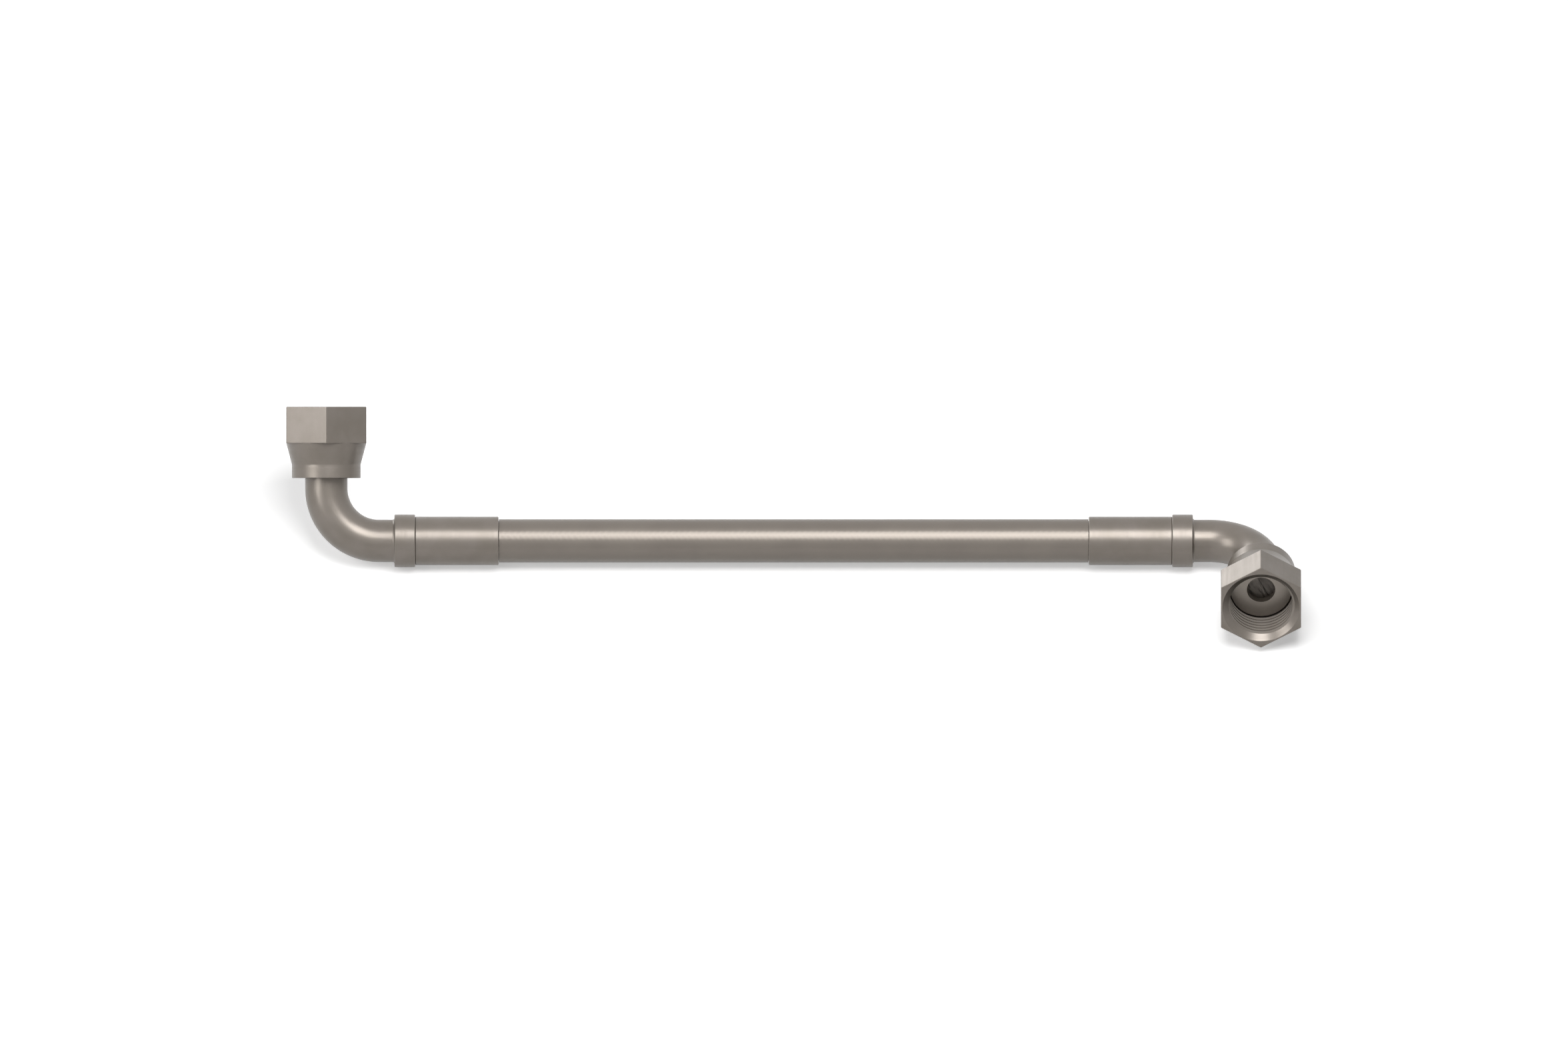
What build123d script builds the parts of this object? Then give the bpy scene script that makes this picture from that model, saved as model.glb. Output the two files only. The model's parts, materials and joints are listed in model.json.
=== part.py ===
from build123d import *
from math import acos, atan2, cos, degrees, hypot, pi, sqrt
import os

# Flexible hose assembly with a 90 degree swivel elbow at each end.
#
# A straight hose of three layers is held at each end between a barbed stem and a crimped ferrule, with its
# cover cut back so that the ferrule bites on the braid. A bent tube is brazed into the stem, and a
# flat-faced seal head is brazed on the tube's other end. A hexagon nut turns freely behind that head.
#
# Lengths are in millimetres. The hose runs along X, and Z is up. The part lies as it comes to rest: on
# its two stem shoulders and the right-hand nut, with the left-hand elbow pointing up and back. Each end
# is modelled in an elbow frame of its own, with the origin where the hose axis meets the nut axis, +X
# towards the middle of the hose and +Z out of the nut.

# Whole assembly
ASSEMBLY_LENGTH = 280.0  # between the two nut axes
ELBOW_DROP = 40.2  # from the hose axis to the mouth of a nut
ELBOW_TWIST = 120.0  # degrees from the left elbow to the right one, about the hose

# Bent tube
TUBE_DIAMETER = 12.7
TUBE_BORE = 8.5
BEND_RADIUS = 15.7  # of the tube's centre line
TUBE_TAIL = 4.7  # straight tube in sight between the bend and the stem
BRAZE_GAP = 0.05  # on the radius, round a brazed tube end

# Hose, from the outside in
HOSE_DIAMETER = 13.0
COVER_WALL = 0.55
BRAID_WALL = 0.4
LINER_WALL = 0.8
HOSE_END_GAP = 0.3  # between the stem's land and the cut end of the hose
COVER_END_GAP = 0.1  # between the ferrule and the cut-back cover

# Stem: shoulder with a socket for the tube, locking groove, land and barbed tail
SHOULDER_DIAMETER = 15.8
SHOULDER_LENGTH = 6.2
SHOULDER_EDGE = 0.2  # edge break
SOCKET_DEPTH = 4.0
STEM_BORE = 7.4
GROOVE_WIDTH = 2.0
GROOVE_WALL = 0.9  # of metal between the groove and the stem's bore
LAND_DIAMETER = 11.0
LAND_LENGTH = 1.2
TAIL_LENGTH = 24.0  # from the shoulder to the end of the barbs
BARB_HEIGHT = 0.3  # by which a barb bites into the liner
BARB_PITCH = 3.4
BARB_COUNT = 5

# Ferrule
FERRULE_DIAMETER = 14.5
FERRULE_LENGTH = 25.0
FERRULE_EDGE = 0.2  # edge break
LIP_CLEARANCE = 0.1
TOOTH_HEIGHT = 0.15  # by which the crimp presses a ridge into the braid
TOOTH_WIDTH = 1.0
TOOTH_PITCH = 3.4
TOOTH_COUNT = 5
TOOTH_SETBACK = 2.5  # from the ferrule's mouth to its first ridge

# Swivel nut
THREAD_BORE = 19.7
NUT_WALL = 2.15  # between the thread and the flats, which makes the nut 24 mm over its flats
NUT_HEX_LENGTH = 11.0
NUT_TAPER_LENGTH = 6.3
COLLAR_WALL = 2.4
NUT_COLLAR_LENGTH = 4.1
MOUTH_CHAMFER = 1.7
RELIEF_DEPTH = 0.5  # on the radius, behind the thread
RELIEF_LEAD = 0.8  # by which the relief starts ahead of the seal face
SWIVEL_GAP = 0.3  # between the nut and what it turns on

# Seal head
FACE_DEPTH = 10.9  # from the nut's mouth to the seal face
RIM_CLEARANCE = 0.45  # on the radius, between the head's rim and the thread
HEAD_RIM = 3.0
HEAD_EDGE = 0.3  # edge break
SLEEVE_WALL = 1.2  # round the tube
SLEEVE_LENGTH = 2.4
HEAD_FLOOR = 2.5  # of metal between the seal face and the tube's end

# Worked out from the sizes above
NUT_LENGTH = NUT_HEX_LENGTH + NUT_TAPER_LENGTH + NUT_COLLAR_LENGTH
NUT_FLATS = THREAD_BORE + 2 * NUT_WALL
NUT_CORNERS = NUT_FLATS / cos(pi / 6)
SHOULDER_START = BEND_RADIUS + TUBE_TAIL
SOCKET_END = SHOULDER_START + SOCKET_DEPTH
SHOULDER_END = SHOULDER_START + SHOULDER_LENGTH
GROOVE_END = SHOULDER_END + GROOVE_WIDTH
LAND_END = GROOVE_END + LAND_LENGTH
HOSE_START = LAND_END + HOSE_END_GAP
TAIL_END = SHOULDER_END + TAIL_LENGTH
FERRULE_END = SHOULDER_END + FERRULE_LENGTH
GROOVE_RADIUS = STEM_BORE / 2 + GROOVE_WALL
SOCKET_RADIUS = TUBE_DIAMETER / 2 + BRAZE_GAP
BRAID_DIAMETER = HOSE_DIAMETER - 2 * COVER_WALL
LINER_DIAMETER = BRAID_DIAMETER - 2 * BRAID_WALL
HOSE_BORE = LINER_DIAMETER - 2 * LINER_WALL
FACE_HEIGHT = ELBOW_DROP - FACE_DEPTH
TUBE_TOP = FACE_HEIGHT - HEAD_FLOOR
RIM_RADIUS = THREAD_BORE / 2 - RIM_CLEARANCE
SLEEVE_RADIUS = SOCKET_RADIUS + SLEEVE_WALL
TAPER_TOP = FACE_HEIGHT - HEAD_RIM
TAPER_BOTTOM = TAPER_TOP - (RIM_RADIUS - SLEEVE_RADIUS)
HEAD_BOTTOM = TAPER_BOTTOM - SLEEVE_LENGTH


def turned(outline, axis):
    """Solid made by turning a closed outline of (along, radius) points about the X or the Z axis."""
    spots = [(along, radius) if axis == Axis.X else (radius, along) for along, radius in outline]
    return revolve(Plane.XZ * make_face(Polyline(*spots, close=True)), axis)


def elbow_tube():
    """Tube from the seal head, round the bend and into the stem's socket."""
    path = FilletPolyline((0, 0, TUBE_TOP), (0, 0, 0), (SOCKET_END, 0, 0), radius=BEND_RADIUS)
    top = Plane((0, 0, TUBE_TOP), z_dir=(0, 0, -1))
    return sweep(top * (Circle(TUBE_DIAMETER / 2) - Circle(TUBE_BORE / 2)), path)


def stem():
    """Shoulder, groove, land and barbed tail, turned in one piece and bored through."""
    shoulder, land, bore, root = (d / 2 for d in (SHOULDER_DIAMETER, LAND_DIAMETER, STEM_BORE, HOSE_BORE))
    outline = [
        (SOCKET_END, bore),
        (SOCKET_END, SOCKET_RADIUS),
        (SHOULDER_START, SOCKET_RADIUS),
        (SHOULDER_START, shoulder - SHOULDER_EDGE),
        (SHOULDER_START + SHOULDER_EDGE, shoulder),
        (SHOULDER_END - SHOULDER_EDGE, shoulder),
        (SHOULDER_END, shoulder - SHOULDER_EDGE),
        (SHOULDER_END, GROOVE_RADIUS),
        (GROOVE_END, GROOVE_RADIUS),
        (GROOVE_END, land),
        (LAND_END, land),
        (LAND_END, root),
    ]
    for barb in range(BARB_COUNT):
        crest = TAIL_END - (BARB_COUNT - barb) * BARB_PITCH
        outline += [(crest, root), (crest, root + BARB_HEIGHT)]
    outline += [(TAIL_END, root), (TAIL_END, bore)]
    return turned(outline, Axis.X)


def ferrule():
    """Crimped sleeve: a lip that locks in the stem's groove, and ridges that bite on the braid."""
    outside, inside = FERRULE_DIAMETER / 2, BRAID_DIAMETER / 2
    lip, lip_end = GROOVE_RADIUS + LIP_CLEARANCE, GROOVE_END - LIP_CLEARANCE
    outline = [
        (lip_end, lip),
        (SHOULDER_END, lip),
        (SHOULDER_END, outside - FERRULE_EDGE),
        (SHOULDER_END + FERRULE_EDGE, outside),
        (FERRULE_END - FERRULE_EDGE, outside),
        (FERRULE_END, outside - FERRULE_EDGE),
        (FERRULE_END, inside),
    ]
    for tooth in range(TOOTH_COUNT):
        crest = FERRULE_END - TOOTH_SETBACK - tooth * TOOTH_PITCH
        outline += [
            (crest + TOOTH_WIDTH / 2, inside),
            (crest, inside - TOOTH_HEIGHT),
            (crest - TOOTH_WIDTH / 2, inside),
        ]
    outline += [(lip_end, inside)]
    return turned(outline, Axis.X)


def seal_head():
    """Flat-faced head with a 45 degree back for the nut to pull on, and a sleeve round the tube."""
    bore = TUBE_BORE / 2
    outline = [
        (FACE_HEIGHT, bore),
        (FACE_HEIGHT, RIM_RADIUS - HEAD_EDGE),
        (FACE_HEIGHT - HEAD_EDGE, RIM_RADIUS),
        (TAPER_TOP, RIM_RADIUS),
        (TAPER_BOTTOM, SLEEVE_RADIUS),
        (HEAD_BOTTOM, SLEEVE_RADIUS),
        (HEAD_BOTTOM, SOCKET_RADIUS),
        (TUBE_TOP, SOCKET_RADIUS),
        (TUBE_TOP, bore),
    ]
    return turned(outline, Axis.Z)


def swivel_nut():
    """Hexagon nut with a tapered back and a collar, hollowed to turn behind the seal head."""
    hexagon_end = ELBOW_DROP - NUT_HEX_LENGTH
    rear = ELBOW_DROP - NUT_LENGTH
    thread = THREAD_BORE / 2
    relief = thread + RELIEF_DEPTH
    sleeve = SLEEVE_RADIUS + SWIVEL_GAP
    collar = sleeve + COLLAR_WALL
    tube = TUBE_DIAMETER / 2 + SWIVEL_GAP
    seat_top = TAPER_TOP + (relief - RIM_RADIUS) - SWIVEL_GAP * sqrt(2)
    hexagon = Pos(0, 0, hexagon_end) * Rot(0, 0, 30) * RegularPolygon(NUT_CORNERS / 2, 6)
    back = [
        (hexagon_end, 0),
        (hexagon_end, NUT_FLATS / 2),
        (hexagon_end - NUT_TAPER_LENGTH, collar),
        (rear, collar),
        (rear, 0),
    ]
    hollow = [
        (ELBOW_DROP, 0),
        (ELBOW_DROP, thread + MOUTH_CHAMFER),
        (ELBOW_DROP - MOUTH_CHAMFER, thread),
        (FACE_HEIGHT + RELIEF_LEAD, thread),
        (FACE_HEIGHT + RELIEF_LEAD, relief),
        (seat_top, relief),
        (seat_top - (relief - sleeve), sleeve),
        (HEAD_BOTTOM - SWIVEL_GAP, sleeve),
        (HEAD_BOTTOM - SWIVEL_GAP, tube),
        (rear, tube),
        (rear, 0),
    ]
    return extrude(hexagon, NUT_HEX_LENGTH) + turned(back, Axis.Z) - turned(hollow, Axis.Z)


def hose_layer(diameter, wall, end, holders):
    """One layer of the hose, cut to length and pressed round the pieces that hold it."""
    ring = Circle(diameter / 2) - Circle(diameter / 2 - wall)
    layer = extrude(Plane.YZ * ring, ASSEMBLY_LENGTH / 2 - end, both=True)
    for holder in holders:
        layer -= holder
    return layer


def rest_lift():
    """Angle in degrees by which the right elbow points up as the part lies on the floor.

    The part stands on its shoulders and on the rear corner of the right nut's hexagon.
    """
    corner, along = NUT_CORNERS / 2, ELBOW_DROP - NUT_HEX_LENGTH
    return degrees(acos(SHOULDER_DIAMETER / 2 / hypot(corner, along)) - atan2(along, corner))


def assembly():
    """Every piece by its node's name, resting on the floor with the origin below the middle."""
    right_roll = 90 - rest_lift()
    places = {
        "left": Pos(-ASSEMBLY_LENGTH / 2, 0, 0) * Rot(right_roll - ELBOW_TWIST, 0, 0),
        "right": Pos(ASSEMBLY_LENGTH / 2, 0, 0) * Rot(right_roll, 0, 0) * Rot(0, 0, 180),
    }
    makers = (stem, ferrule, elbow_tube, seal_head, swivel_nut)
    pieces = {f"{side}_{make.__name__}": place * make() for side, place in places.items() for make in makers}
    stems = [pieces[f"{side}_stem"] for side in places]
    ferrules = [pieces[f"{side}_ferrule"] for side in places]
    pieces["hose_liner"] = hose_layer(LINER_DIAMETER, LINER_WALL, HOSE_START, stems)
    pieces["hose_braid"] = hose_layer(BRAID_DIAMETER, BRAID_WALL, HOSE_START, ferrules)
    pieces["hose_cover"] = hose_layer(HOSE_DIAMETER, COVER_WALL, FERRULE_END + COVER_END_GAP, [])
    box = Compound(list(pieces.values())).bounding_box()
    on_floor = Pos(-box.center().X, -box.center().Y, -box.min.Z)
    return {name: on_floor * piece for name, piece in pieces.items()}


os.makedirs("parts", exist_ok=True)
for name, piece in assembly().items():
    export_step(piece, f"parts/{name}.step")
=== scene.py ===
"""Looks of a flexible hose with two swivel elbows: finishes, threads, bent tubes, braze, studio, camera.

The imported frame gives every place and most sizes. What is modelled here rides on it: the two nuts with
their threads, the bent tubes, the fillets of braze and the hose's cover. All lengths are in metres. Each
end of the hose has an elbow frame of its own: its origin is where the hose axis meets the nut axis, +X
points into the hose and +Z out of the nut.
"""

from __future__ import annotations

import json
import logging
from dataclasses import dataclass, field
from enum import Enum
from math import ceil, cos, pi, radians, tan

import bmesh
import bpy
from mathutils import Matrix, Vector


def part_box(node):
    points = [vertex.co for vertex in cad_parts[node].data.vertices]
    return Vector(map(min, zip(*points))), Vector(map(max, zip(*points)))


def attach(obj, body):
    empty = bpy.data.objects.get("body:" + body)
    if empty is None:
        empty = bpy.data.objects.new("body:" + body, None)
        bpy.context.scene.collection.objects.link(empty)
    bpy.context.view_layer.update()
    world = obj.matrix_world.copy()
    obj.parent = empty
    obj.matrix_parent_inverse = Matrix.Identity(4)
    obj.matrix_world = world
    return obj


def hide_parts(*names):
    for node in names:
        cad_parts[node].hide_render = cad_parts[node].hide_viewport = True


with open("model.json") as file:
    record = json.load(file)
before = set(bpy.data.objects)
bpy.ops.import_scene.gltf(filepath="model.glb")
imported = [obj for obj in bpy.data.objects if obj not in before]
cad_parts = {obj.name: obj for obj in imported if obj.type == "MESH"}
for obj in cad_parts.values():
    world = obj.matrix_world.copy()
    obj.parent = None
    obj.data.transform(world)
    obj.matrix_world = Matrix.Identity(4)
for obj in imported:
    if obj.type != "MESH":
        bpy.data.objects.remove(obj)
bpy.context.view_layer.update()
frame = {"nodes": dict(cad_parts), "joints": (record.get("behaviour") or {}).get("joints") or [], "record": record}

LOG = logging.getLogger("hose")
MM = 0.001
AROUND = 96  # facets round a turned piece
MERGE = 0.001 * MM  # points nearer than this are one
SHARP = radians(32)  # edges that turn by more than this keep a crisp line
FACET = radians(10)  # edges that turn by less than this belong to one round
SIDEWAYS = 0.5  # a face looks sideways where less than this share of its normal lies along Z
FLATS = 6  # of a hexagon
FIXED_BODY = "hose_and_elbows"

Shape = bmesh.types.BMesh
Edge = bmesh.types.BMEdge
Tree = bpy.types.NodeTree
Socket = bpy.types.NodeSocket


class Side(Enum):
    """The two ends of the hose, with the way that each looks along X from its nut to the hose."""

    LEFT = ("left", 1.0)
    RIGHT = ("right", -1.0)

    @property
    def label(self) -> str:
        """Word that the end's nodes start with."""
        return self.value[0]

    @property
    def inward(self) -> float:
        """Sign of the direction along X towards the middle of the hose."""
        return self.value[1]


class Slot(Enum):
    """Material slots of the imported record."""

    STEEL = "plated_steel"
    COVER = "hose_cover"


# The frame


def mount(name: str) -> dict:
    """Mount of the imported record, by its name."""
    return next(m for m in frame["record"]["mounts"] if m["name"] == name)


def joint(name: str) -> dict:
    """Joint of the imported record, by its name."""
    return next(j for j in frame["joints"] if j["name"] == name)


def middle_of(node: str) -> Vector:
    """Centre of a node's box."""
    low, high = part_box(node)
    return (Vector(low) + Vector(high)) / 2


def elbow_frame(side: Side) -> Matrix:
    """Place of an elbow's own frame.

    Args:
        side: Which end of the hose.

    Returns:
        The matrix from the elbow's frame to the row's.
    """
    swivel = joint(f"{side.label}_nut_swivel")
    up = Vector(swivel["axis"]).normalized()
    inward = Vector((side.inward, 0, 0))
    hose_axis = middle_of("hose_cover")
    face = Vector(swivel["pos_m"])
    place = Matrix((inward, up.cross(inward), up)).transposed().to_4x4()
    place.translation = face - up * (face - hose_axis).dot(up)
    return place


def own_box(node: str, place: Matrix) -> tuple[Vector, Vector]:
    """Lowest and highest corners of a CAD node, measured in an elbow's frame.

    Args:
        node: The node's name.
        place: The elbow's frame.

    Returns:
        The two corners.
    """
    back = place.inverted()
    spots = [back @ v.co for v in frame["nodes"][node].data.vertices]
    low, high = (Vector([pick(s[i] for s in spots) for i in range(3)]) for pick in (min, max))
    return low, high


# Shapes


def put_in_order(shape: Shape) -> None:
    """Sorts a shape's points, edges and faces by where they are.

    Merging leaves them in an order that changes from run to run. Sorted, the turned and bent
    pieces come out the same each run. The nuts still differ by up to about 0.0002 mm.

    Args:
        shape: The shape.
    """
    for index, vert in enumerate(sorted(shape.verts, key=lambda v: v.co[:])):
        vert.index = index
    shape.verts.sort()
    for items in (shape.edges, shape.faces):
        for index, item in enumerate(sorted(items, key=lambda i: sorted(v.index for v in i.verts))):
            item.index = index
        items.sort()


def turned(outline: list[tuple[float, float]], closed: bool = False) -> Shape:
    """Turns an outline about Z.

    Args:
        outline: Points as (radius, height). An open outline starts and ends on the axis.
        closed: Whether the last point joins the first, as round a ring.

    Returns:
        The closed shape.
    """
    shape = bmesh.new()
    spots = [shape.verts.new((radius, 0, height)) for radius, height in outline]
    ends = spots[1:] + spots[:1] if closed else spots[1:]
    edges = [shape.edges.new(pair) for pair in zip(spots, ends)]
    bmesh.ops.spin(
        shape,
        geom=spots + edges,
        cent=(0, 0, 0),
        axis=(0, 0, 1),
        angle=2 * pi,
        steps=AROUND,
        use_merge=True,
    )
    bmesh.ops.remove_doubles(shape, verts=shape.verts, dist=MERGE)
    put_in_order(shape)
    bmesh.ops.recalc_face_normals(shape, faces=shape.faces)
    return shape


def ease(shape: Shape, edges: list[Edge], width: float) -> None:
    """Breaks edges with a small round, so that they catch the light.

    Args:
        shape: The shape.
        edges: Its edges to round.
        width: How far the round reaches from the edge.
    """
    bmesh.ops.bevel(
        shape,
        geom=edges,
        offset=width,
        segments=3,
        profile=0.5,
        affect="EDGES",
        material=-1,
        clamp_overlap=True,
    )


def corners_between(shape: Shape, low: float, high: float) -> list[Edge]:
    """Edges of a shape that lie between two heights and turn by more than a facet does."""
    corners = [edge for edge in shape.edges if edge.is_manifold and edge.calc_face_angle() > FACET]
    return [edge for edge in corners if all(low < v.co.z < high for v in edge.verts)]


def to_object(name: str, shape: Shape) -> bpy.types.Object:
    """Makes an object of a shape and links it.

    Args:
        name: The object's name.
        shape: The shape, which is used up.

    Returns:
        The object, at the origin.
    """
    put_in_order(shape)
    mesh = bpy.data.meshes.new(name)
    shape.to_mesh(mesh)
    shape.free()
    made = bpy.data.objects.new(name, mesh)
    bpy.context.scene.collection.objects.link(made)
    return made


def combine(body: Shape, steps: list[tuple[str, Shape]]) -> Shape:
    """Joins shapes to a body or cuts them out of it, in order.

    Args:
        body: The shape to start from, which is used up.
        steps: Pairs of a Boolean operation and the shape that it takes, which is used up.

    Returns:
        The resulting shape.
    """
    result = to_object("blank", body)
    tools = []
    for operation, shape in steps:
        tool = to_object("tool", shape)
        cut = result.modifiers.new(operation, "BOOLEAN")
        cut.operation = operation
        cut.solver = "EXACT"
        cut.object = tool
        tools.append(tool)
    done = bmesh.new()
    done.from_object(result, bpy.context.evaluated_depsgraph_get())
    for used in (result, *tools):
        mesh = used.data
        bpy.data.objects.remove(used)
        bpy.data.meshes.remove(mesh)
    bmesh.ops.remove_doubles(done, verts=done.verts, dist=MERGE)
    bmesh.ops.dissolve_degenerate(done, edges=done.edges, dist=MERGE)
    return done


def finish_piece(
    name: str,
    shape: Shape,
    place: Matrix,
    body: str,
    materials: list[bpy.types.Material],
    stands_for: str | None = None,
) -> bpy.types.Object:
    """Places a finished shape and ties it to the frame.

    Args:
        name: The piece's name.
        shape: Its shape in its own frame, which is used up.
        place: Where that frame lies in the row's.
        body: The body that it rides on.
        materials: Its finishes, in the order of the faces' numbers.
        stands_for: The CAD node that it replaces, if any.

    Returns:
        The piece.
    """
    shape.transform(place)
    made = to_object(name, shape)
    for material in materials:
        made.data.materials.append(material)
    made.data.shade_smooth()
    made.data.set_sharp_from_angle(angle=SHARP)
    shading = made.modifiers.new("flat_faces_stay_flat", "WEIGHTED_NORMAL")
    shading.keep_sharp = True
    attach(made, body)
    if stands_for:
        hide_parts(stands_for)
    LOG.info("%s: %d faces, rides on %s", name, len(made.data.polygons), body)
    return made


# Colours and nodes


def linear(code: str) -> tuple[float, float, float, float]:
    """Opaque linear colour of an sRGB hex code, six digits after a hash sign."""
    channels = (int(code[i : i + 2], 16) / 255 for i in (1, 3, 5))
    return (*(c / 12.92 if c <= 0.04045 else ((c + 0.055) / 1.055) ** 2.4 for c in channels), 1.0)


def add_node(tree: Tree, kind: str, links: dict | None = None, **settings: object) -> bpy.types.Node:
    """Adds a node with its settings and links.

    Args:
        tree: The node tree that it goes in.
        kind: The node's type name.
        links: Input socket, by name or number, to the output socket or constant that feeds it.
        settings: Attributes of the node.

    Returns:
        The new node.
    """
    node = tree.nodes.new(kind)
    for name, value in settings.items():
        setattr(node, name, value)
    for socket, source in (links or {}).items():
        if isinstance(source, Socket):
            tree.links.new(source, node.inputs[socket])
        else:
            node.inputs[socket].default_value = source
    return node


class Grain(Enum):
    """How a steel surface was made, which sets the run of its fine marks."""

    TURNED_Z = "rings round the nut axis"
    TURNED_X = "rings round the hose axis"
    DRAWN_Z = "lines along the nut axis"
    BENT = "lines along a bent tube"


@dataclass(frozen=True)
class PlatedSteel:
    """Carbon steel with a zinc-nickel plate: a warm grey satin, its tool marks soft under the plate.

    The eye gets a broad highlight that the marks break up a little, and a slow cloudiness in the grey.
    """

    name: str
    place: Matrix
    grain: Grain
    light: str = "#7F7871"
    dark: str = "#787169"
    mark_pitch: float = 0.9 * MM  # real tool marks lie 0.1 to 0.2 mm apart, too fine to show
    mark_depth: float = 0.02 * MM
    mark_detail: float = 3.0
    mark_harshness: float = 0.6
    mark_stretch: float = 0.05  # of drawn lines, along their length
    mark_span: tuple[float, float] = (0.3, 0.7)  # of the marks, from the glossiest to the dullest
    cloud_size: float = 7.0 * MM
    cloud_detail: float = 3.0
    cloud_span: tuple[float, float] = (0.35, 0.65)  # of the clouds, from the dark grey to the light
    speck_size: float = 0.5 * MM  # grains of the plate, drawn about ten times too coarse
    speck_detail: float = 1.0
    speck_height: float = 0.35  # as a share of the marks' height
    roughness: float = 0.34
    roughness_swing: float = 0.04
    metallic: float = 0.5  # the seal over the plate scatters as much light as the metal mirrors

    def run(self, tree: Tree) -> Socket:
        """Coordinates in which the fine marks run, in metres.

        Args:
            tree: The material's node tree.

        Returns:
            The socket that holds them.
        """
        if self.grain is Grain.BENT:
            straight = add_node(tree, "ShaderNodeAttribute", attribute_name=BentTube.STRAIGHT)
            return self.stretched(tree, straight.outputs["Vector"])
        back = self.place.inverted()
        coords = add_node(tree, "ShaderNodeTexCoord")
        own = add_node(
            tree,
            "ShaderNodeMapping",
            {"Vector": coords.outputs["Object"], "Location": back.translation, "Rotation": back.to_euler()},
        )
        if self.grain is Grain.DRAWN_Z:
            return self.stretched(tree, own.outputs["Vector"])
        parts = add_node(tree, "ShaderNodeSeparateXYZ", {"Vector": own.outputs["Vector"]})
        along, first, second = ("X", "Y", "Z") if self.grain is Grain.TURNED_X else ("Z", "X", "Y")
        across = add_node(
            tree, "ShaderNodeCombineXYZ", {"X": parts.outputs[first], "Y": parts.outputs[second]}
        )
        radius = add_node(tree, "ShaderNodeVectorMath", {0: across.outputs["Vector"]}, operation="LENGTH")
        rings = add_node(
            tree, "ShaderNodeCombineXYZ", {"X": radius.outputs["Value"], "Y": parts.outputs[along]}
        )
        return rings.outputs["Vector"]

    def stretched(self, tree: Tree, source: Socket) -> Socket:
        """Coordinates squeezed along Z, which draws marks out into long lines."""
        scale = (1.0, 1.0, self.mark_stretch)
        return add_node(tree, "ShaderNodeMapping", {"Vector": source, "Scale": scale}).outputs["Vector"]

    def material(self) -> bpy.types.Material:
        """Makes this finish out of nodes.

        Returns:
            The material.
        """
        made = bpy.data.materials.new(self.name)
        made.use_nodes = True
        tree = made.node_tree
        tree.nodes.clear()
        marks = add_node(
            tree,
            "ShaderNodeTexNoise",
            {
                "Vector": self.run(tree),
                "Scale": 1 / self.mark_pitch,
                "Detail": self.mark_detail,
                "Roughness": self.mark_harshness,
            },
        )
        coords = add_node(tree, "ShaderNodeTexCoord")
        cloud = add_node(
            tree,
            "ShaderNodeTexNoise",
            {
                "Vector": coords.outputs["Object"],
                "Scale": 1 / self.cloud_size,
                "Detail": self.cloud_detail,
            },
        )
        specks = add_node(
            tree,
            "ShaderNodeTexNoise",
            {
                "Vector": coords.outputs["Object"],
                "Scale": 1 / self.speck_size,
                "Detail": self.speck_detail,
            },
        )
        tint = add_node(
            tree,
            "ShaderNodeMapRange",
            {
                "Value": cloud.outputs["Fac"],
                "From Min": self.cloud_span[0],
                "From Max": self.cloud_span[1],
            },
        )
        colour = add_node(
            tree,
            "ShaderNodeMix",
            {"Factor": tint.outputs["Result"], "A": linear(self.dark), "B": linear(self.light)},
            data_type="RGBA",
        )
        height = add_node(
            tree,
            "ShaderNodeMath",
            {0: specks.outputs["Fac"], 1: self.speck_height, 2: marks.outputs["Fac"]},
            operation="MULTIPLY_ADD",
        )
        gloss = add_node(
            tree,
            "ShaderNodeMapRange",
            {
                "Value": marks.outputs["Fac"],
                "From Min": self.mark_span[0],
                "From Max": self.mark_span[1],
                "To Min": self.roughness - self.roughness_swing,
                "To Max": self.roughness + self.roughness_swing,
            },
        )
        bump = add_node(
            tree, "ShaderNodeBump", {"Height": height.outputs["Value"], "Distance": self.mark_depth}
        )
        shader = add_node(
            tree,
            "ShaderNodeBsdfPrincipled",
            {
                "Base Color": colour.outputs["Result"],
                "Metallic": self.metallic,
                "Roughness": gloss.outputs["Result"],
                "Normal": bump.outputs["Normal"],
            },
        )
        add_node(tree, "ShaderNodeOutputMaterial", {"Surface": shader.outputs["BSDF"]})
        return made


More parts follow.
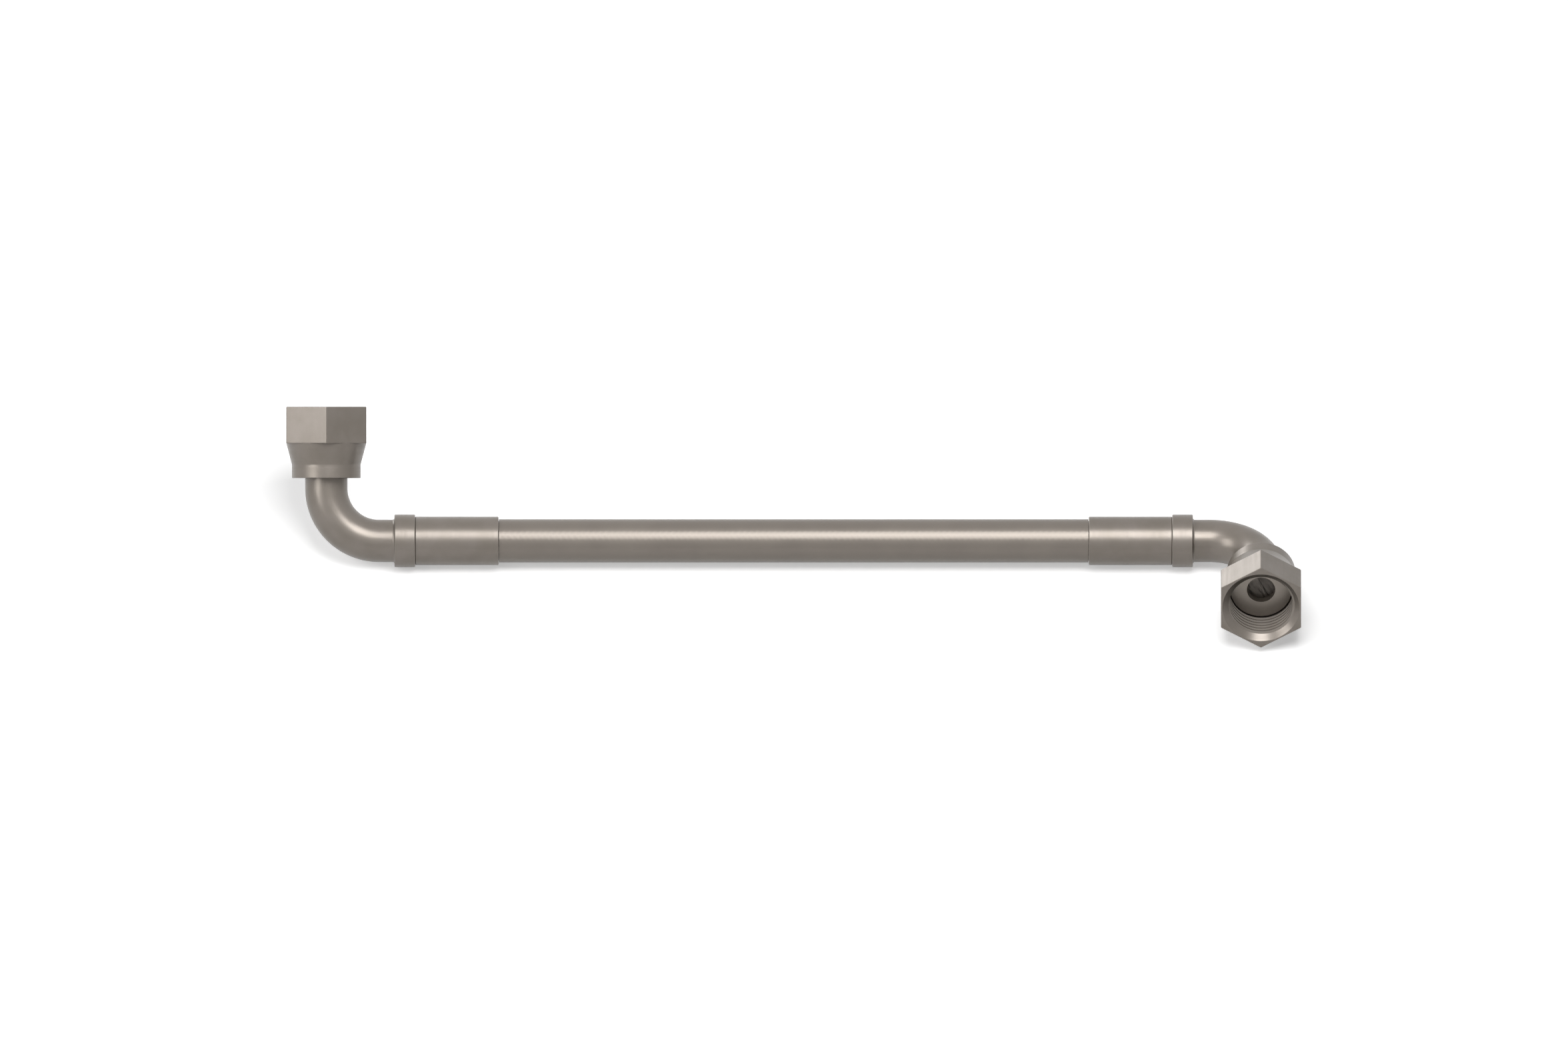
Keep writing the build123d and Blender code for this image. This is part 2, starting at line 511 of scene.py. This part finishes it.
@dataclass(frozen=True)
class BraidedLayer:
    """A round layer of the hose with a braid's crossing lay: the wires themselves, or their print.

    The eye gets faint diamonds that slide along the highlight of an otherwise smooth satin tube.
    """

    name: str
    axis: Vector
    light: str
    dark: str
    starts: int  # ridges of each hand round the layer
    radius: float
    depth: float
    roughness: float
    metallic: float
    roughness_swing: float = 0.04
    lay: float = radians(54.7)  # the angle at which a braid neither grows nor shrinks under pressure
    cloud_size: float = 9.0 * MM
    cloud_detail: float = 4.0

    def ridge(self, tree: Tree, along: Socket, turn: Socket, hand: float) -> Socket:
        """Height of the ridges of one hand.

        Args:
            tree: The material's node tree.
            along: Distance along the hose.
            turn: Angle round it.
            hand: 1 for one hand and -1 for the other.

        Returns:
            A socket from -1 to 1.
        """
        rise = hand * self.starts * tan(self.lay) / self.radius
        wound = add_node(tree, "ShaderNodeMath", {0: along, 1: rise}, operation="MULTIPLY")
        phase = add_node(
            tree,
            "ShaderNodeMath",
            {0: turn, 1: float(self.starts), 2: wound.outputs["Value"]},
            operation="MULTIPLY_ADD",
        )
        wave = add_node(tree, "ShaderNodeMath", {0: phase.outputs["Value"]}, operation="SINE")
        return wave.outputs["Value"]

    def material(self) -> bpy.types.Material:
        """Makes this finish out of nodes.

        Returns:
            The material.
        """
        made = bpy.data.materials.new(self.name)
        made.use_nodes = True
        tree = made.node_tree
        tree.nodes.clear()
        coords = add_node(tree, "ShaderNodeTexCoord")
        centred = add_node(
            tree, "ShaderNodeMapping", {"Vector": coords.outputs["Object"], "Location": -self.axis}
        )
        parts = add_node(tree, "ShaderNodeSeparateXYZ", {"Vector": centred.outputs["Vector"]})
        turn = add_node(
            tree, "ShaderNodeMath", {0: parts.outputs["Y"], 1: parts.outputs["Z"]}, operation="ARCTAN2"
        )
        ridges = [self.ridge(tree, parts.outputs["X"], turn.outputs["Value"], hand) for hand in (1.0, -1.0)]
        weave = add_node(tree, "ShaderNodeMath", {0: ridges[0], 1: ridges[1]}, operation="MAXIMUM")
        cloud = add_node(
            tree,
            "ShaderNodeTexNoise",
            {
                "Vector": coords.outputs["Object"],
                "Scale": 1 / self.cloud_size,
                "Detail": self.cloud_detail,
            },
        )
        colour = add_node(
            tree,
            "ShaderNodeMix",
            {"Factor": cloud.outputs["Fac"], "A": linear(self.dark), "B": linear(self.light)},
            data_type="RGBA",
        )
        gloss = add_node(
            tree,
            "ShaderNodeMapRange",
            {
                "Value": cloud.outputs["Fac"],
                "To Min": self.roughness - self.roughness_swing,
                "To Max": self.roughness + self.roughness_swing,
            },
        )
        bump = add_node(
            tree, "ShaderNodeBump", {"Height": weave.outputs["Value"], "Distance": self.depth}
        )
        shader = add_node(
            tree,
            "ShaderNodeBsdfPrincipled",
            {
                "Base Color": colour.outputs["Result"],
                "Metallic": self.metallic,
                "Roughness": gloss.outputs["Result"],
                "Normal": bump.outputs["Normal"],
            },
        )
        add_node(tree, "ShaderNodeOutputMaterial", {"Surface": shader.outputs["BSDF"]})
        return made


def dress(node: str, material: bpy.types.Material) -> None:
    """Gives a CAD node its finish.

    Args:
        node: The node's name.
        material: The finish.
    """
    mesh = frame["nodes"][node].data
    mesh.materials.clear()
    mesh.materials.append(material)


# The hose's pieces


@dataclass
class SwivelNut:
    """Hexagon nut with a tapered back and a collar, threaded inside and turning behind the seal head."""

    side: Side
    place: Matrix
    hexagon_length: float = 11.0 * MM
    taper_length: float = 6.3 * MM
    collar_wall: float = 2.4 * MM
    mouth_chamfer: float = 1.7 * MM
    relief_depth: float = 0.5 * MM
    seat_drop: float = 2.474 * MM  # from the seal face to the top of the 45 degree seat
    sleeve_radius: float = 7.9 * MM
    sleeve_drop: float = 7.5 * MM  # from the seal face to the end of the sleeve's room
    tube_radius: float = 6.65 * MM  # of the rear bore, which clears the tube
    pitch: float = 1.5875 * MM  # sixteen threads to the inch
    thread_height: float = 0.79 * MM
    thread_flank: float = radians(30)  # half the thread's angle
    root_flat: float = 1 / 8  # of the pitch
    crest_radius: float = 9.53 * MM
    edge: float = 0.22 * MM
    mouth_edge: float = 0.1 * MM
    overlap: float = 1.0 * MM  # by which a tool runs past the metal that it cuts or joins
    groove_overlap: float = 0.3 * MM  # the same, for the groove inside the crests
    taper_inset: float = 0.02 * MM  # of the taper's wide end in from the flats
    low: Vector = field(init=False)
    high: Vector = field(init=False)

    def __post_init__(self) -> None:
        """Measures the CAD nut."""
        self.low, self.high = own_box(f"{self.side.label}_swivel_nut", self.place)

    @property
    def flats_radius(self) -> float:
        """From the axis to a flat."""
        return self.high.x

    @property
    def mouth(self) -> float:
        """Height of the nut's open end."""
        return self.high.z

    @property
    def thread_radius(self) -> float:
        """Mean radius of the thread, which is the plain bore of the CAD nut."""
        return mount(f"{self.side.label}_thread")["dims"]["r_mm"] * MM

    @property
    def face(self) -> float:
        """Height of the seal face."""
        return (self.place.inverted() @ Vector(joint(f"{self.side.label}_nut_swivel")["pos_m"])).z

    def hexagon(self) -> Shape:
        """The hexagon, with its edges broken.

        Returns:
            The shape.
        """
        corner = self.flats_radius / cos(pi / FLATS)
        shape = bmesh.new()
        bmesh.ops.create_cone(
            shape,
            cap_ends=True,
            segments=FLATS,
            radius1=corner,
            radius2=corner,
            depth=self.hexagon_length,
            matrix=Matrix.Translation((0, 0, self.mouth - self.hexagon_length / 2)),
        )
        ease(shape, shape.edges[:], self.edge)
        return shape

    def back(self) -> Shape:
        """Taper and collar behind the hexagon.

        Returns:
            The shape.
        """
        top = self.mouth - self.hexagon_length
        neck = top - self.taper_length
        collar = self.sleeve_radius + self.collar_wall
        wide = self.flats_radius - self.taper_inset
        shape = turned(
            [
                (0, top + self.overlap),
                (wide, top + self.overlap),
                (wide, top),
                (collar, neck),
                (collar, self.low.z),
                (0, self.low.z),
            ]
        )
        ease(shape, corners_between(shape, self.low.z - MERGE, neck + MERGE), self.edge)
        return shape

    def hollow(self) -> Shape:
        """What the bore takes out: mouth, thread crests, relief, seat, sleeve and tube.

        Returns:
            The shape.
        """
        relief = self.thread_radius + self.relief_depth
        mouth_radius = self.thread_radius + self.mouth_chamfer
        seat = self.face - self.seat_drop
        step = self.face - self.sleeve_drop
        return turned(
            [
                (0, self.mouth + self.overlap),
                (mouth_radius + self.overlap, self.mouth + self.overlap),
                (self.crest_radius, self.mouth - (mouth_radius - self.crest_radius)),
                (self.crest_radius, self.face),
                (relief, self.face),
                (relief, seat),
                (self.sleeve_radius, seat - (relief - self.sleeve_radius)),
                (self.sleeve_radius, step),
                (self.tube_radius, step),
                (self.tube_radius, self.low.z - self.overlap),
                (0, self.low.z - self.overlap),
            ]
        )

    def groove(self) -> Shape:
        """The thread's helical groove, from past the mouth into the relief.

        Returns:
            The shape.
        """
        inner, root = self.crest_radius - self.groove_overlap, self.crest_radius + self.thread_height
        narrow = self.pitch * self.root_flat / 2
        wide = narrow + self.thread_height * tan(self.thread_flank)
        start = self.mouth + self.pitch / 2
        turns = (start - self.face) / self.pitch
        steps = ceil(turns * AROUND)
        outline = [
            (inner, wide),
            (self.crest_radius, wide),
            (root, narrow),
            (root, -narrow),
            (self.crest_radius, -wide),
            (inner, -wide),
        ]
        shape = bmesh.new()
        spots = [shape.verts.new((radius, 0, start + height)) for radius, height in outline]
        edges = [shape.edges.new(pair) for pair in zip(spots, spots[1:] + spots[:1])]
        bmesh.ops.spin(
            shape,
            geom=spots + edges,
            cent=(0, 0, 0),
            axis=(0, 0, 1),
            dvec=(0, 0, -self.pitch / AROUND),
            angle=-steps * 2 * pi / AROUND,
            steps=steps,
        )
        bmesh.ops.holes_fill(shape, edges=shape.edges, sides=len(outline))
        bmesh.ops.recalc_face_normals(shape, faces=shape.faces)
        return shape

    def build(self) -> bpy.types.Object:
        """Models the nut and ties it to its body.

        Returns:
            The nut.
        """
        shape = combine(
            self.hexagon(),
            [("UNION", self.back()), ("DIFFERENCE", self.hollow()), ("DIFFERENCE", self.groove())],
        )
        rim = self.thread_radius + self.mouth_chamfer
        top = corners_between(shape, self.mouth - MERGE, self.mouth + MERGE)
        ease(shape, [e for e in top if all(v.co.xy.length < rim + MERGE for v in e.verts)], self.mouth_edge)
        for face in shape.faces:
            on_flat = face.calc_center_median().xy.length > self.flats_radius - self.edge
            face.material_index = int(on_flat and abs(face.normal.z) < SIDEWAYS)
        label = self.side.label
        finishes = [
            PlatedSteel(f"turned_plated_steel_{label}_nut", self.place, Grain.TURNED_Z).material(),
            PlatedSteel(f"drawn_plated_steel_{label}_nut", self.place, Grain.DRAWN_Z).material(),
        ]
        return finish_piece(
            f"{label}_threaded_nut",
            shape,
            self.place,
            f"{label}_nut",
            finishes,
            f"{label}_swivel_nut",
        )


@dataclass
class BentTube:
    """Steel tube bent through a right angle, from the seal head into the stem."""

    STRAIGHT = "straight_place"

    side: Side
    place: Matrix
    bend_radius: float = 15.7 * MM
    bore_radius: float = 4.25 * MM
    bend_steps: int = 48
    low: Vector = field(init=False)
    high: Vector = field(init=False)

    def __post_init__(self) -> None:
        """Measures the CAD tube."""
        self.low, self.high = own_box(f"{self.side.label}_elbow_tube", self.place)

    def wall(self, shape: Shape, radius: float) -> tuple[list[Edge], list[Edge]]:
        """One wall of the tube, outside or inside.

        Args:
            shape: The shape that it goes in.
            radius: The wall's radius.

        Returns:
            The edges of its two ends.
        """
        ring = bmesh.ops.create_circle(
            shape, radius=radius, segments=AROUND, matrix=Matrix.Translation((0, 0, self.high.z))
        )["verts"]
        first = list(dict.fromkeys(edge for vert in ring for edge in vert.link_edges))
        edges = self.drawn_on(shape, first, Vector((0, 0, self.bend_radius - self.high.z)))
        bend = bmesh.ops.spin(
            shape,
            geom=edges + list(dict.fromkeys(vert for edge in edges for vert in edge.verts)),
            cent=(self.bend_radius, 0, self.bend_radius),
            axis=(0, -1, 0),
            angle=pi / 2,
            steps=self.bend_steps,
        )
        edges = [item for item in bend["geom_last"] if isinstance(item, Edge)]
        return first, self.drawn_on(shape, edges, Vector((self.high.x - self.bend_radius, 0, 0)))

    def drawn_on(self, shape: Shape, edges: list[Edge], way: Vector) -> list[Edge]:
        """Carries a ring of edges straight on.

        Args:
            shape: The shape.
            edges: The ring.
            way: How far and in which direction.

        Returns:
            The edges of the new ring.
        """
        new = bmesh.ops.extrude_edge_only(shape, edges=edges)["geom"]
        bmesh.ops.translate(shape, verts=[v for v in new if isinstance(v, bmesh.types.BMVert)], vec=way)
        return [e for e in new if isinstance(e, Edge)]

    def unbent(self, spot: Vector) -> Vector:
        """Where a point of the tube lay before it was bent, with the tube along Z.

        Args:
            spot: A point in the elbow's frame.

        Returns:
            The point on the straight tube.
        """
        if spot.z >= self.bend_radius:
            return spot.copy()
        if spot.x >= self.bend_radius:
            return Vector((spot.z, spot.y, -self.bend_radius * pi / 2 - (spot.x - self.bend_radius)))
        to_centre = Vector((self.bend_radius - spot.x, self.bend_radius - spot.z))
        turn = abs(to_centre.angle_signed(Vector((1, 0))))
        return Vector((self.bend_radius - to_centre.length, spot.y, -self.bend_radius * turn))

    def build(self) -> bpy.types.Object:
        """Models the tube and ties it to its body.

        Returns:
            The tube.
        """
        shape = bmesh.new()
        outside = self.wall(shape, self.high.y)
        inside = self.wall(shape, self.bore_radius)
        for ends in zip(outside, inside):
            bmesh.ops.bridge_loops(shape, edges=[edge for end in ends for edge in end])
        bmesh.ops.recalc_face_normals(shape, faces=shape.faces)
        straight = shape.verts.layers.float_vector.new(self.STRAIGHT)
        for vert in shape.verts:
            vert[straight] = self.unbent(vert.co)
        label = self.side.label
        finish = PlatedSteel(f"drawn_plated_steel_{label}_tube", self.place, Grain.BENT).material()
        return finish_piece(
            f"{label}_bent_tube", shape, self.place, FIXED_BODY, [finish], f"{label}_elbow_tube"
        )


@dataclass
class BrazeFillet:
    """Small hollow fillet of braze where the tube enters the stem, under the same plate."""

    side: Side
    place: Matrix
    leg: float = 0.55 * MM
    sunk: float = 0.04 * MM  # by which it lies in the steel behind it
    arc_steps: int = 6

    def build(self) -> bpy.types.Object:
        """Models the fillet and ties it to its body.

        Returns:
            The fillet.
        """
        label = self.side.label
        tube = own_box(f"{label}_elbow_tube", self.place)[1].y
        shoulder = own_box(f"{label}_stem", self.place)[0].x
        corner = [(tube - self.sunk, shoulder - self.leg), (tube - self.sunk, shoulder + self.sunk)]
        outer = [(tube + self.leg, shoulder + self.sunk)]
        hollow = []
        for step in range(self.arc_steps + 1):
            turn = Matrix.Rotation(pi / 2 * step / self.arc_steps, 2) @ Vector((0, 1))
            hollow.append((tube + self.leg + turn.x * self.leg, shoulder - self.leg + turn.y * self.leg))
        shape = turned(corner + outer + hollow, closed=True)
        shape.transform(Matrix.Rotation(pi / 2, 4, "Y"))
        finish = PlatedSteel(f"brazed_plated_steel_{label}", self.place, Grain.TURNED_X).material()
        return finish_piece(f"{label}_braze_fillet", shape, self.place, FIXED_BODY, [finish])


@dataclass
class Elbow:
    """Everything at one end of the hose."""

    side: Side

    def build(self) -> None:
        """Models the end's own pieces and dresses its CAD nodes."""
        place = elbow_frame(self.side)
        label = self.side.label
        SwivelNut(self.side, place).build()
        BentTube(self.side, place).build()
        BrazeFillet(self.side, place).build()
        # The head's grey is painted a little lighter than the rest of the steel: painted light, standing in for
        # the light that falls short in the shaded bore of the nut
        painted_light_head = PlatedSteel(
            f"painted_light_plated_steel_{label}_head", place, Grain.TURNED_Z, light="#A1988F", dark="#999188"
        )
        dress(f"{label}_seal_head", painted_light_head.material())
        along = PlatedSteel(f"turned_plated_steel_{label}", place, Grain.TURNED_X).material()
        for piece in ("stem", "ferrule"):
            dress(f"{label}_{piece}", along)
        LOG.info("%s elbow: finishes on its stem, ferrule and seal head", label)


@dataclass
class Hose:
    """The hose: its cover in sight between the ferrules, and the layers inside."""

    cover_wall: float = 0.55 * MM
    ring_step: float = 2.0 * MM  # between the cover's rings of points

    def cover(self) -> bpy.types.Object:
        """Returns:
            The cover.
        """
        low, high = (Vector(corner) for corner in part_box("hose_cover"))
        centre = (low + high) / 2
        radius, length = (high.z - low.z) / 2, high.x - low.x
        rings = ceil(length / self.ring_step)
        inside = radius - self.cover_wall
        up = [(radius, length * (step / rings - 0.5)) for step in range(rings + 1)]
        shape = turned(up + [(inside, length / 2), (inside, -length / 2)], closed=True)
        place = Matrix.Translation(centre) @ Matrix.Rotation(pi / 2, 4, "Y")
        # Thermoplastic with metal pigment, extruded over the braid: the satin grey of the steel beside it
        finish = BraidedLayer(
            name="extruded_grey_thermoplastic",
            axis=centre,
            light="#817A72",
            dark="#766F68",
            starts=16,
            radius=radius,
            depth=0.006 * MM,
            roughness=0.34,
            metallic=0.5,
        ).material()
        made = finish_piece("covered_hose", shape, place, FIXED_BODY, [finish], "hose_cover")
        return made

    def build(self) -> None:
        """Models the cover and dresses the layers inside."""
        self.cover()
        centre = middle_of("hose_cover")
        low, high = (Vector(corner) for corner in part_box("hose_braid"))
        radius = (high.z - low.z) / 2
        # Bright drawn wire: crossing ridges that glint
        wires = BraidedLayer(
            name="braided_steel_wire",
            axis=centre,
            light="#A9A6A1",
            dark="#8F8C87",
            starts=24,
            radius=radius,
            depth=0.12 * MM,
            roughness=0.35,
            metallic=1.0,
        ).material()
        dress("hose_braid", wires)
        # Nitrile rubber: a dull black with the print of the wires round it
        liner = BraidedLayer(
            name="extruded_nitrile_rubber",
            axis=centre,
            light="#2A2A2A",
            dark="#1F1F20",
            starts=24,
            radius=radius,
            depth=0.01 * MM,
            roughness=0.6,
            metallic=0.0,
        ).material()
        dress("hose_liner", liner)
        LOG.info("hose: finishes on its braid and liner")


# Studio


@dataclass(frozen=True)
class Lamp:
    """A square soft lamp: where it stands in the camera's right, up and back, its side and its power."""

    name: str
    direction: tuple[float, float, float]
    size: float
    power: float


@dataclass
class Studio:
    """Pale floor, soft lamps and the camera of the photograph."""

    scale: float = 0.19971 * MM  # of one photograph pixel
    frame_width: int = 2352
    hose_below_centre: float = 27.5  # pixels from the frame's centre down to the hose axis
    middle_right_of_centre: float = 14.5  # pixels from the frame's centre to the middle of the hose
    distance: float = 1.2  # of the camera and the lamps from the middle of the hose
    far_clip: float = 10.0
    floor_size: float = 6.0
    world: float = 0.08  # strength of the light from all round
    floor_colour: str = "#E8E8E8"  # as the floor is seen
    bounce_colour: str = "#3A3A38"  # as it throws light back up
    floor_glow: float = 0.4  # which keeps its far corners white
    lamps: tuple[Lamp, ...] = (
        Lamp("key", (0.1, 0.52, 0.85), 0.65, 11.0),
        Lamp("left", (-0.75, 0.23, 0.62), 0.7, 6.8),
        Lamp("back_left", (-0.46, 0.71, -0.52), 0.4, 2.7),
    )

    def view_axes(self) -> Matrix:
        """Rotation of the camera: the left-hand elbow points straight up in the picture.

        Returns:
            Right, up and back as the matrix's columns.
        """
        up = Vector(joint("left_nut_swivel")["axis"]).normalized()
        right = Vector((1, 0, 0))
        return Matrix((right, up, right.cross(up))).transposed()

    def camera(self) -> None:
        """Makes the orthographic camera."""
        data = bpy.data.cameras.new("camera")
        data.type = "ORTHO"
        data.ortho_scale = self.frame_width * self.scale
        data.clip_end = self.far_clip
        camera = bpy.data.objects.new("camera", data)
        bpy.context.scene.collection.objects.link(camera)
        turn = self.view_axes()
        right, up, back = (turn.col[i] for i in range(3))
        target = (
            middle_of("hose_cover")
            - right * self.middle_right_of_centre * self.scale
            + up * self.hose_below_centre * self.scale
        )
        camera.matrix_world = Matrix.Translation(target + back * self.distance) @ turn.to_4x4()
        bpy.context.scene.camera = camera

    def hang(self, lamp: Lamp) -> None:
        """Adds a lamp that looks at the middle of the hose.

        Args:
            lamp: The lamp.
        """
        data = bpy.data.lights.new(lamp.name, "AREA")
        data.size = lamp.size
        data.energy = lamp.power
        made = bpy.data.objects.new(lamp.name, data)
        bpy.context.scene.collection.objects.link(made)
        way = (self.view_axes() @ Vector(lamp.direction)).normalized()
        made.location = middle_of("hose_cover") + way * self.distance
        made.rotation_mode = "QUATERNION"
        made.rotation_quaternion = way.to_track_quat("Z", "Y")

    def floor(self) -> None:
        """Lays a matt floor, an even white with a soft shadow, that throws little light back up."""
        shape = bmesh.new()
        bmesh.ops.create_grid(shape, x_segments=1, y_segments=1, size=self.floor_size / 2)
        floor = to_object("floor", shape)
        material = bpy.data.materials.new("matt_white_floor")
        material.use_nodes = True
        tree = material.node_tree
        tree.nodes.clear()
        seen = self.seen(tree)
        colour = add_node(
            tree,
            "ShaderNodeMix",
            {"Factor": seen, "A": linear(self.bounce_colour), "B": linear(self.floor_colour)},
            data_type="RGBA",
        )
        glow = add_node(tree, "ShaderNodeMath", {0: seen, 1: self.floor_glow}, operation="MULTIPLY")
        matt = add_node(tree, "ShaderNodeBsdfDiffuse", {"Color": colour.outputs["Result"]})
        white = add_node(tree, "ShaderNodeEmission", {"Strength": glow.outputs["Value"]})
        both = add_node(tree, "ShaderNodeAddShader", {0: matt.outputs["BSDF"], 1: white.outputs["Emission"]})
        add_node(tree, "ShaderNodeOutputMaterial", {"Surface": both.outputs["Shader"]})
        floor.data.materials.append(material)

    def seen(self, tree: Tree) -> Socket:
        """One for camera, glossy and transmitted rays, and zero for the others.

        Args:
            tree: The node tree that asks.

        Returns:
            The socket that says so.
        """
        rays = add_node(tree, "ShaderNodeLightPath")
        either = add_node(
            tree,
            "ShaderNodeMath",
            {0: rays.outputs["Is Camera Ray"], 1: rays.outputs["Is Glossy Ray"]},
            operation="MAXIMUM",
        )
        both = add_node(
            tree,
            "ShaderNodeMath",
            {0: either.outputs["Value"], 1: rays.outputs["Is Transmission Ray"]},
            operation="MAXIMUM",
        )
        return both.outputs["Value"]

    def sky(self) -> None:
        """Lights the room dimly from all round, and is white to the camera and in reflections."""
        world = bpy.data.worlds.new("studio")
        bpy.context.scene.world = world
        world.use_nodes = True
        tree = world.node_tree
        tree.nodes.clear()
        strength = add_node(
            tree,
            "ShaderNodeMapRange",
            {"Value": self.seen(tree), "To Min": self.world, "To Max": 1.0},
        )
        light = add_node(
            tree,
            "ShaderNodeBackground",
            {"Color": (1.0, 1.0, 1.0, 1.0), "Strength": strength.outputs["Result"]},
        )
        add_node(tree, "ShaderNodeOutputWorld", {"Surface": light.outputs["Background"]})

    def build(self) -> None:
        """Sets the whole studio up."""
        bpy.context.scene.view_settings.view_transform = "Standard"
        self.camera()
        self.floor()
        self.sky()
        for lamp in self.lamps:
            self.hang(lamp)
        LOG.info("studio: camera, floor, sky and %d lamps", len(self.lamps))


def main() -> None:
    """Builds both ends, the hose and the studio."""
    logging.basicConfig(level=logging.INFO, format="%(name)s: %(message)s")
    for side in Side:
        Elbow(side).build()
    Hose().build()
    Studio().build()


if __name__ == "__main__":
    main()
